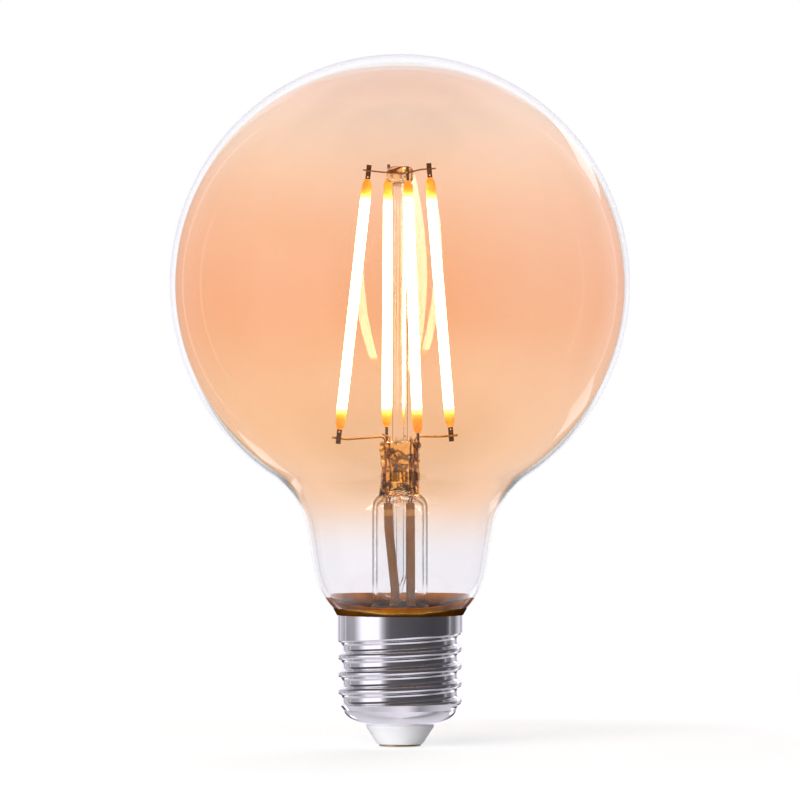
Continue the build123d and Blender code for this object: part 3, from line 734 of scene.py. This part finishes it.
outer_skin, tree, shader = new_finish("amber_film", GLASS)
height = object_height(tree)
film = ramp(tree, height, FILM_STOPS, "B_SPLINE")
sprayed = blend(tree, mottle(tree, SPRAY_GRAIN, 0, SPRAY_SHARE), film, SPRAY)
film = blend(tree, mottle(tree, CLOUD_GRAIN, 0, CLOUD_SHARE), film, sprayed)
across = parts_of(tree, object_place(tree))["X"]
film = blend(tree, ramp(tree, across, PALE_STOPS), film, CLEAR)
print(f"film in {len(FILM_STOPS)} steps of height")

# %% Clear ring
RING_STOPS = (
    (96.0 * MM, 0.976),
    (125.0 * MM, 0.975),
    (133.0 * MM, 0.97),
    (138.0 * MM, 0.964),
    (139.9 * MM, 0.96),
    (141.3 * MM, 0.94),
    (144.2 * MM, 0.93),
)
RING_SOFT = 0.002


def slant_stops(bend):
    """The ring's edge as Layer Weight reads it, outside the glass or bent inside it."""
    return [(place, 1 - math.sqrt(1 - (share / bend) ** 2)) for place, share in RING_STOPS]


facing = slant(tree)
inside = add_node(tree, "ShaderNodeNewGeometry").outputs["Backfacing"]
ring_edges = [ramp(tree, height, slant_stops(bend)) for bend in (1, GLASS["IOR"])]
past = maths(tree, "SUBTRACT", facing, blend(tree, inside, *ring_edges))
ring = ramp(tree, past, ((-RING_SOFT, 0.0), (RING_SOFT, 1.0)))
skin = blend(tree, ring, film, CLEAR)
print(f"clear ring from {RING_STOPS[-1][1]} of the radius at the pole, {RING_STOPS[0][1]} at the middle")

# %% [markdown]
# ## Lines at the shoulder and the neck
# At the shoulder the wall bends the other way, and seen along the skin it shows dark streaks. The
# neck has a fine grey line beside its edge. Both come from the bent wall sending the sight line
# into the dark studio. Layer Weight places them, so that they follow the edge from any side, and
# they multiply the film's colour.

# %% Edge lines
SHOULDER_REACH = (50.0 * MM, 51.5 * MM, 55.0 * MM, 60.0 * MM)
STREAK_STOPS = (
    (0.62, CLEAR),
    (0.68, (0.62, 0.54, 0.48)),
    (0.73, (0.80, 0.74, 0.70)),
    (0.79, (0.05, 0.035, 0.03)),
    (0.86, (0.03, 0.022, 0.02)),
    (0.93, (0.55, 0.50, 0.60)),
    (1.0, CLEAR),
)
STREAK_GRAIN, STREAK_SHARE = 150, 0.35
NECK_REACH = (30.0 * MM, 33.0 * MM, 47.0 * MM, 52.0 * MM)
NECK_LINE_STOPS = (
    (0.50, CLEAR),
    (0.60, (0.90, 0.88, 0.92)),
    (0.65, (0.62, 0.58, 0.66)),
    (0.69, CLEAR),
    (0.94, CLEAR),
    (1.0, (0.6, 0.56, 0.64)),
)


def plateau(edges):
    """Stops of a share that rises, stays at 1 and falls again."""
    return tuple(zip(edges, (0, 1, 1, 0)))


streaks = blend(tree, inside, ramp(tree, facing, STREAK_STOPS), CLEAR)
streaks = blend(tree, mottle(tree, STREAK_GRAIN, STREAK_SHARE, 1), CLEAR, streaks)
neck_line = blend(tree, inside, ramp(tree, facing, NECK_LINE_STOPS), CLEAR)
for reach, lines in ((SHOULDER_REACH, streaks), (NECK_REACH, neck_line)):
    skin = blend(tree, ramp(tree, height, plateau(reach)), skin, lines, "MULTIPLY")
tree.links.new(skin, shader.inputs["Base Color"])
globe.data.materials.append(outer_skin)
globe.data.materials.append(inner_skin)
print("edge lines on the shoulder and the neck")

# %% [markdown]
# ## The lit filaments
# Each filament is a strip of small chips under an orange yellow silicone coat. Lit, the length
# that carries chips is almost white, and the bare ends stay orange with a short yellow glow.

# %% Filament coat
GLOW = 24.0
COAT_LOW_Z, COAT_HIGH_Z = 66.0 * MM, 118.4 * MM
COAT_TONES = ((0.75, 0.26, 0.02), (0.9, 0.42, 0.05))
COAT_GRAIN = 1500
END_GLOW = (
    (0.0 * MM, (0.0275, 0.0095, 0.0006)),
    (2.1 * MM, (0.033, 0.014, 0.0012)),
    (3.1 * MM, (0.064, 0.036, 0.004)),
    (4.1 * MM, (0.21, 0.15, 0.047)),
    (5.3 * MM, (1.0, 0.85, 0.65)),
)

phosphor, tree, shader = new_finish("phosphor", {"Roughness": 0.55, "Emission Strength": GLOW})
coat = blend(tree, mottle(tree, COAT_GRAIN, 0, 1), *COAT_TONES)
tree.links.new(coat, shader.inputs["Base Color"])
glow_stops = [(COAT_LOW_Z + run, glow) for run, glow in END_GLOW]
glow_stops += [(COAT_HIGH_Z - run, glow) for run, glow in reversed(END_GLOW)]
tree.links.new(ramp(tree, object_height(tree), glow_stops), shader.inputs["Emission Color"])
print(f"filament coat, lit over {(COAT_HIGH_Z - COAT_LOW_Z) / MM:.1f} mm")

# %% [markdown]
# ## The cap's sheet metal
# The shell is thin bright sheet, drawn and then rolled, so its faint marks run round the cap. The
# same stretched mottle drives a change of roughness and a very shallow relief.

# %% Cap metal
SHEET_TONES = ((0.82, 0.81, 0.83), (0.90, 0.89, 0.91))
SHEET_GRAIN = 200
ROLLED = (25, 25, 900)
ROLLED_GRAIN = 2
ROLLED_SHINE = (0.05, 0.13)
ROLLED_RELIEF = 0.004 * MM

cap_metal, tree, shader = new_finish("cap_metal", {"Metallic": 1.0})
sheet = blend(tree, mottle(tree, SHEET_GRAIN, 0, 1), *SHEET_TONES)
tree.links.new(sheet, shader.inputs["Base Color"])
tree.links.new(mottle(tree, ROLLED_GRAIN, *ROLLED_SHINE, ROLLED), shader.inputs["Roughness"])
relief(tree, shader, mottle(tree, ROLLED_GRAIN, 0, 1, ROLLED), ROLLED_RELIEF)
print("cap metal")

# %% [markdown]
# ## The dull finishes
# The rest are plain worked materials. Each drifts between two tones at the grain of its making:
# drawn wires and rolled strip browned by welding, moulded plastic, laminate. One function makes
# them all from a row of values.

# %% Dull finishes
WORKED_RELIEF = 0.02 * MM
# Two tones, grain, lowest and highest roughness, then metallic and gloss where they aren't plain
WORKED = {
    "tab_metal": (((0.07, 0.035, 0.015), (0.17, 0.09, 0.04)), 900, (0.35, 0.55), 0.3, 0.2),
    "link_wire": (((0.20, 0.075, 0.015), (0.36, 0.16, 0.035)), 900, (0.3, 0.5), 0.6, 0.2),
    "lead_wire": (((0.40, 0.19, 0.01), (0.66, 0.34, 0.03)), 900, (0.3, 0.5), 0.6, 0.2),
    "supply_wire": (((0.5, 0.25, 0.12), (0.6, 0.33, 0.17)), 900, (0.25, 0.4), 1.0),
    "white_insulator": (((0.82, 0.82, 0.84), (0.87, 0.87, 0.88)), 300, (0.3, 0.4)),
    "contact_metal": (((0.5, 0.33, 0.16), (0.62, 0.43, 0.22)), 600, (0.25, 0.42), 1.0),
    "board": (((0.26, 0.13, 0.04), (0.36, 0.19, 0.07)), 700, (0.6, 0.8)),
    "capacitor": (((0.01, 0.01, 0.013), (0.03, 0.03, 0.035)), 500, (0.3, 0.45)),
    "package": (((0.012, 0.012, 0.012), (0.03, 0.03, 0.03)), 900, (0.55, 0.75)),
    "resistor": (((0.09, 0.18, 0.22), (0.14, 0.26, 0.3)), 700, (0.35, 0.5)),
}


def worked_finish(name, tones, grain, shine, metallic=0.0, gloss=0.5):
    """A finish whose colour and roughness drift between two ends."""
    finish, tree, shader = new_finish(name, {"Metallic": metallic, "Specular IOR Level": gloss})
    tree.links.new(blend(tree, mottle(tree, grain, 0, 1), *tones), shader.inputs["Base Color"])
    tree.links.new(mottle(tree, grain, *shine), shader.inputs["Roughness"])
    relief(tree, shader, mottle(tree, grain, 0, 1), WORKED_RELIEF)
    return finish


finishes = {"phosphor": phosphor, "cap_metal": cap_metal}
for name, values in WORKED.items():
    finishes[name] = worked_finish(name, *values)
print(f"{len(finishes)} finishes so far")

# %% [markdown]
# ## The woven sleeves
# Each pair of wires runs down the stem in a brown woven sleeve, which keeps it clear of the cap.
# Crossed bands of a Wave texture stand for the weave, and a paler golden ring near the top is a
# painted highlight, a shiny band round the sleeve.

# %% Sleeve weave
WEAVE = {"Scale": 900, "Distortion": 1.0}
WEAVE_RELIEF = 0.05 * MM
THREAD_TONES = ((0.52, 0.18, 0.012), (0.74, 0.31, 0.04))
THREAD_STAIN = (0.40, 0.14, 0.012)
THREAD_GRAIN, THREAD_SHARE = 350, 0.4
# A painted highlight: a paler golden ring round the sleeve near its top.
SHINE_BAND = (0.95, 0.48, 0.06)
SHINE_BAND_REACH = (48.1 * MM, 48.4 * MM, 49.5 * MM, 49.8 * MM)

sleeve, tree, shader = new_finish("sleeve", {"Roughness": 0.85, "Specular IOR Level": 0.1})
sockets = {"Vector": object_place(tree), **WEAVE}
strands = [
    add_node(tree, "ShaderNodeTexWave", sockets, bands_direction=way).outputs["Fac"]
    for way in ("DIAGONAL", "Z")
]
crossed = maths(tree, "MULTIPLY", *strands)
thread = blend(tree, crossed, *THREAD_TONES)
thread = blend(tree, mottle(tree, THREAD_GRAIN, 0, THREAD_SHARE), thread, THREAD_STAIN)
# The painted highlight ring goes over the weave.
shine_band = ramp(tree, object_height(tree), plateau(SHINE_BAND_REACH))
tree.links.new(blend(tree, shine_band, thread, SHINE_BAND), shader.inputs["Base Color"])
relief(tree, shader, crossed, WEAVE_RELIEF)
finishes["sleeve"] = sleeve
print("sleeve weave")

# %% [markdown]
# ## Dress the CAD nodes
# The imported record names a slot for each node, so a node finds its finish by its slot. The four
# nodes that are modelled again here are left out: their CAD shapes are hidden.

# %% Dress the nodes
slot_of = {part["node"]: part["material_slot"] for part in frame["record"]["subparts"]}
remade = ("glass_globe", "glass_stem", "support_rod", "cement_ring")
for name, node in nodes.items():
    if name not in remade:
        node.material_slots[0].material = finishes[slot_of[name]]
print(f"{len(finishes)} finishes on {len(nodes) - len(remade)} nodes")

# %% [markdown]
# ## The cement's colour
# Where the cement is smeared thin over the glass it is golden brown, and the studio's light shines
# through it: a weak glow of its own stands for that. The thick bead under it is darkened by painted
# shadow, where the bowl shades it, and a pale painted highlight line runs along its crest. The line
# sags towards the front and the back.

# %% Cement colour
CREST_SIDE_Z = 29.3 * MM
CREST_FRONT_Z = 27.9 * MM
SAG = (CREST_SIDE_Z - CREST_FRONT_Z) / BEAD_R**2
# Painted shadow under the crest, a pale painted highlight on it, the cement's own brown above.
CEMENT_AND_PAINTED_SHADE_STOPS = (
    (CREST_SIDE_Z - 0.6 * MM, (0.04, 0.014, 0.003)),
    (CREST_SIDE_Z - 0.2 * MM, (0.10, 0.04, 0.006)),
    (CREST_SIDE_Z - 0.05 * MM, (0.42, 0.27, 0.11)),
    (CREST_SIDE_Z + 0.15 * MM, (0.30, 0.13, 0.015)),
    (CREST_SIDE_Z + 0.7 * MM, (0.26, 0.06, 0.0)),
    (CREST_SIDE_Z + 3.0 * MM, (0.30, 0.08, 0.0)),
)
SMEAR_STOPS = (
    (CREST_SIDE_Z + 0.2 * MM, (0.0, 0.0, 0.0)),
    (CREST_SIDE_Z + 0.7 * MM, (0.09, 0.026, 0.0)),
    (CREST_SIDE_Z + 1.6 * MM, (0.28, 0.08, 0.0)),
    (CREST_SIDE_Z + 3.0 * MM, (0.40, 0.125, 0.0)),
)
DRIFT_GRAIN, DRIFT = 500, 0.15 * MM
PATCH_GRAIN, PATCH_SHARES = 260, (-0.2, 0.8)
PATCH_BROWN = (0.07, 0.02, 0.0)
PATCH_GLOW = (0.04, 0.011, 0.0)
DRY_GRAIN, DRY_SHINE = 700, (0.35, 0.6)

values = {"Specular IOR Level": 0.0, "Emission Strength": 1.0}
cement_brown, tree, shader = new_finish("cement", values)
parts = parts_of(tree, object_place(tree))
ahead = maths(tree, "MULTIPLY", parts["Y"], parts["Y"])
level = maths(tree, "MULTIPLY_ADD", ahead, SAG, parts["Z"])
height = maths(tree, "ADD", level, mottle(tree, DRIFT_GRAIN, -DRIFT, DRIFT))
patches = mottle(tree, PATCH_GRAIN, *PATCH_SHARES)
# The cement's brown, with painted shadow under the crest and a painted highlight on it.
brown_with_painted_shade = blend(tree, patches, ramp(tree, height, CEMENT_AND_PAINTED_SHADE_STOPS), PATCH_BROWN)
tree.links.new(brown_with_painted_shade, shader.inputs["Base Color"])
glow = blend(tree, patches, ramp(tree, height, SMEAR_STOPS), PATCH_GLOW)
tree.links.new(glow, shader.inputs["Emission Color"])
tree.links.new(mottle(tree, DRY_GRAIN, *DRY_SHINE), shader.inputs["Roughness"])
cement.data.materials.append(cement_brown)
print("cement colour")

# %% [markdown]
# ## The studio
# The photograph has a plain white background, so the camera sees white past the bulb from any side.
# The world is a round of light that differs by the kind of ray: metal and the skin of the glass
# mirror one round, a sight line through the glass ends in another, and all that is dull gets an even
# weak grey. The helpers place light on the round by two angles in degrees: above the horizon, and
# from the front, left negative.

# %% Round of the studio
STUDIO_TINT = Vector((1.0, 0.965, 1.06))

world = bpy.data.worlds.new("studio")
world.use_nodes = True
scene.world = world
sky = world.node_tree
away = parts_of(sky, add_node(sky, "ShaderNodeTexCoord").outputs["Generated"])
turn = maths(sky, "ARCTAN2", away["X"], maths(sky, "MULTIPLY", away["Y"], -1.0))


def tinted(level):
    """A grey of the studio, a little towards lavender."""
    return tuple(STUDIO_TINT * level)


def climb(angle):
    """Height on the round, from -1 to 1, of an angle above the horizon."""
    return math.sin(math.radians(angle))


def by_turn(stops):
    """Tone that follows the angle from the front."""
    return ramp(sky, turn, [(math.radians(angle), tone) for angle, tone in stops])


def past_edge(edge):
    """Share that rises softly from 0 to 1 between two angles above the horizon."""
    sockets = {"Value": away["Z"], "From Min": climb(edge[0]), "From Max": climb(edge[1])}
    made = add_node(sky, "ShaderNodeMapRange", sockets, interpolation_type="SMOOTHSTEP")
    return made.outputs["Result"]


def round_patch(heights, angles):
    """Mask of one part of the round, by stops of height and of angle from the front."""
    at_height = ramp(sky, away["Z"], [(climb(angle), share) for angle, share in heights])
    return maths(sky, "MULTIPLY", at_height, by_turn(angles))


print("studio round and its helpers")

# %% [markdown]
# ## What metal and glass mirror
# A soft box on the left, the dark studio in front and the white sweep behind draw the broad bands on
# the cap. Thin bright gaps between the screens draw the arcs on the globe. Below lies the white
# table, and a dark gap behind it gives the thread its dark lines. Above is the grey ceiling, with a
# dark lid over the front that keeps the globe clear. Three small windows give the broken glints
# near the globe's edge.

# %% Mirrored round
ROUND_STOPS = (
    (-180, 1.05),
    (-154.5, 1.05),
    (-151.5, 0.5),
    (-140, 0.55),
    (-139, 1.3),
    (-137.5, 0.55),
    (-131, 0.56),
    (-119, 0.38),
    (-118, 1.2),
    (-116.5, 0.36),
    (-92, 0.40),
    (-82, 0.80),
    (-74, 1.2),
    (-40, 1.2),
    (-33, 0.55),
    (-25, 0.20),
    (-17, 0.12),
    (4, 0.095),
    (60, 0.06),
    (94, 0.07),
    (102.5, 0.22),
    (103.5, 0.9),
    (105, 0.25),
    (118, 0.17),
    (134, 0.70),
    (137, 0.70),
    (138.5, 1.3),
    (140, 0.55),
    (156, 0.5),
    (158, 1.05),
    (180, 1.05),
)
TABLE_STOPS = (
    (-180, 0.8),
    (-100, 0.6),
    (-40, 0.8),
    (10, 0.88),
    (50, 0.82),
    (85, 0.3),
    (120, 0.6),
    (180, 0.8),
)
TABLE_EDGE = (-18, -32)
CEILING_LEVEL = 0.5
CEILING_EDGE = (30, 42)

around, table = (
    by_turn([(angle, tinted(level)) for angle, level in stops])
    for stops in (ROUND_STOPS, TABLE_STOPS)
)
print(f"round in {len(ROUND_STOPS)} stops, table in {len(TABLE_STOPS)}")

# %% Gap, lid and windows
GAP_LEVEL = 0.06
GAP_HEIGHTS = ((-12.5, 1), (-9.5, 0))
GAP_LEFT, GAP_RIGHT = (-172, -168, -158, -152), (152, 158, 168, 172)
LID_LEVEL = 0.10
LID_HEIGHTS = ((10, 0), (24, 1))
LID_ANGLES = (-140, -125, 125, 140)
WINDOWS = {
    "upper right": (2.0, (15, 16, 23, 24), (141, 142, 157, 159)),
    "lower right": (1.7, (-26, -25, -17, -16), (136, 138, 150, 152)),
    "lower left": (1.8, (-32, -31, -24, -23), (-160, -158, -150, -148)),
}

gap = round_patch(GAP_HEIGHTS, plateau(GAP_LEFT) + plateau(GAP_RIGHT))
around = blend(sky, gap, around, tinted(GAP_LEVEL))
around = blend(sky, past_edge(TABLE_EDGE), around, table)
around = blend(sky, past_edge(CEILING_EDGE), around, tinted(CEILING_LEVEL))
lid = round_patch(LID_HEIGHTS, plateau(LID_ANGLES))
around = blend(sky, lid, around, tinted(LID_LEVEL))
for level, heights, angles in WINDOWS.values():
    window = round_patch(plateau(heights), plateau(angles))
    around = blend(sky, window, around, tinted(level))
print(f"gap, lid and {len(WINDOWS)} windows")

# %% [markdown]
# ## What shows through the glass
# A sight line through the glass ends in the white sweep on every side. Only the thick bent glass of
# the stem sends it steeply up or down, and there the studio is dark and warm, as the cap's inside
# and the cement are on the real bulb.

# %% Behind the glass
BACKDROP = 1.07
WARM_DARK = (0.14, 0.08, 0.03)
OVERHEAD_EDGE = (45, 65)
UNDER_EDGE = (-62, -72)
SOFT_GREY = 0.14
WHITE = (1, 1, 1)

behind = (BACKDROP, BACKDROP, BACKDROP)
for edge in (OVERHEAD_EDGE, UNDER_EDGE):
    behind = blend(sky, past_edge(edge), behind, WARM_DARK)
ray = add_node(sky, "ShaderNodeLightPath").outputs
lit = blend(sky, ray["Is Glossy Ray"], tinted(SOFT_GREY), around)
lit = blend(sky, ray["Is Transmission Ray"], lit, behind)
lit = blend(sky, ray["Is Camera Ray"], lit, WHITE)
sky.links.new(lit, sky.nodes["Background"].inputs["Color"])
print("studio round the bulb")

# %% [markdown]
# ## Lamps and floor
# One large soft box stands at the front left, and a weaker one behind lights the far side. The lit
# filaments shine on the floor too, so its paint is only a mid grey. A glow that the camera alone
# sees lifts it to white: weak at the cap's foot, where the floor keeps a soft shadow, and full at
# the rim, where it fades into the background. Metal and glass don't show the floor, since the real
# bulb hung clear of its own.

# %% Lamps
LAMP_AWAY = 0.7
LAMP_HIGH = 0.08
LAMP_SIZE = (0.68, 0.8)
LAMPS = {"soft_box": (-28, 13.5), "back_box": (165, 8.0)}

for name, (angle, power) in LAMPS.items():
    lamp_data = bpy.data.lights.new(name, "AREA")
    lamp_data.shape = "RECTANGLE"
    lamp_data.size, lamp_data.size_y = LAMP_SIZE
    lamp_data.energy = power
    lamp = bpy.data.objects.new(name, lamp_data)
    way = math.radians(angle)
    lamp.location = (LAMP_AWAY * math.sin(way), -LAMP_AWAY * math.cos(way), LAMP_HIGH)
    aim = Vector((0, 0, PHOTO_MIDDLE_Z)) - lamp.location
    lamp.rotation_euler = aim.to_track_quat("-Z", "Y").to_euler()
    lamp.visible_camera = lamp.visible_glossy = lamp.visible_transmission = False
    scene.collection.objects.link(lamp)
    print(f"{name}: {power} W at {angle} degrees from the front")

# %% Floor
FLOOR_R = 0.22
FLOOR_SIDES = 96
FLOOR_DROP = 0.2 * MM
FLOOR_TONES = ((0.48, 0.48, 0.48), (0.51, 0.51, 0.51))
FLOOR_GRAIN = 30
SEEN_STOPS = ((0.0, 0.62), (0.09, 0.64), (0.21, 1.0))
BLACK = (0, 0, 0)

bpy.ops.object.select_all(action="DESELECT")
bpy.ops.mesh.primitive_circle_add(
    vertices=FLOOR_SIDES, radius=FLOOR_R, fill_type="NGON", location=(0, 0, -FLOOR_DROP)
)
floor = bpy.context.object
floor.name = "floor"
values = {"Roughness": 1.0, "Specular IOR Level": 0.0, "Emission Strength": 1.0}
floor_white, tree, shader = new_finish("floor", values)
paint = blend(tree, mottle(tree, FLOOR_GRAIN, 0, 1), *FLOOR_TONES)
tree.links.new(paint, shader.inputs["Base Color"])
ray = add_node(tree, "ShaderNodeLightPath").outputs
fade = ramp(tree, axis_distance(tree), SEEN_STOPS)
tree.links.new(blend(tree, ray["Is Camera Ray"], BLACK, fade), shader.inputs["Emission Color"])
floor.data.materials.append(floor_white)
floor.visible_glossy = floor.visible_transmission = False
print(f"floor {2 * FLOOR_R:.2f} m across")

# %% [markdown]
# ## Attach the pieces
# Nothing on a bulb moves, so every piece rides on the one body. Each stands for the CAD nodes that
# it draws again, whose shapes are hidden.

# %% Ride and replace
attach(globe, "root")
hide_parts("glass_globe")
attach(stem, "root")
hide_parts("glass_stem", "support_rod")
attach(cement, "root")
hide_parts("cement_ring")
print(f"globe, stem and cement stand for {len(remade)} nodes")
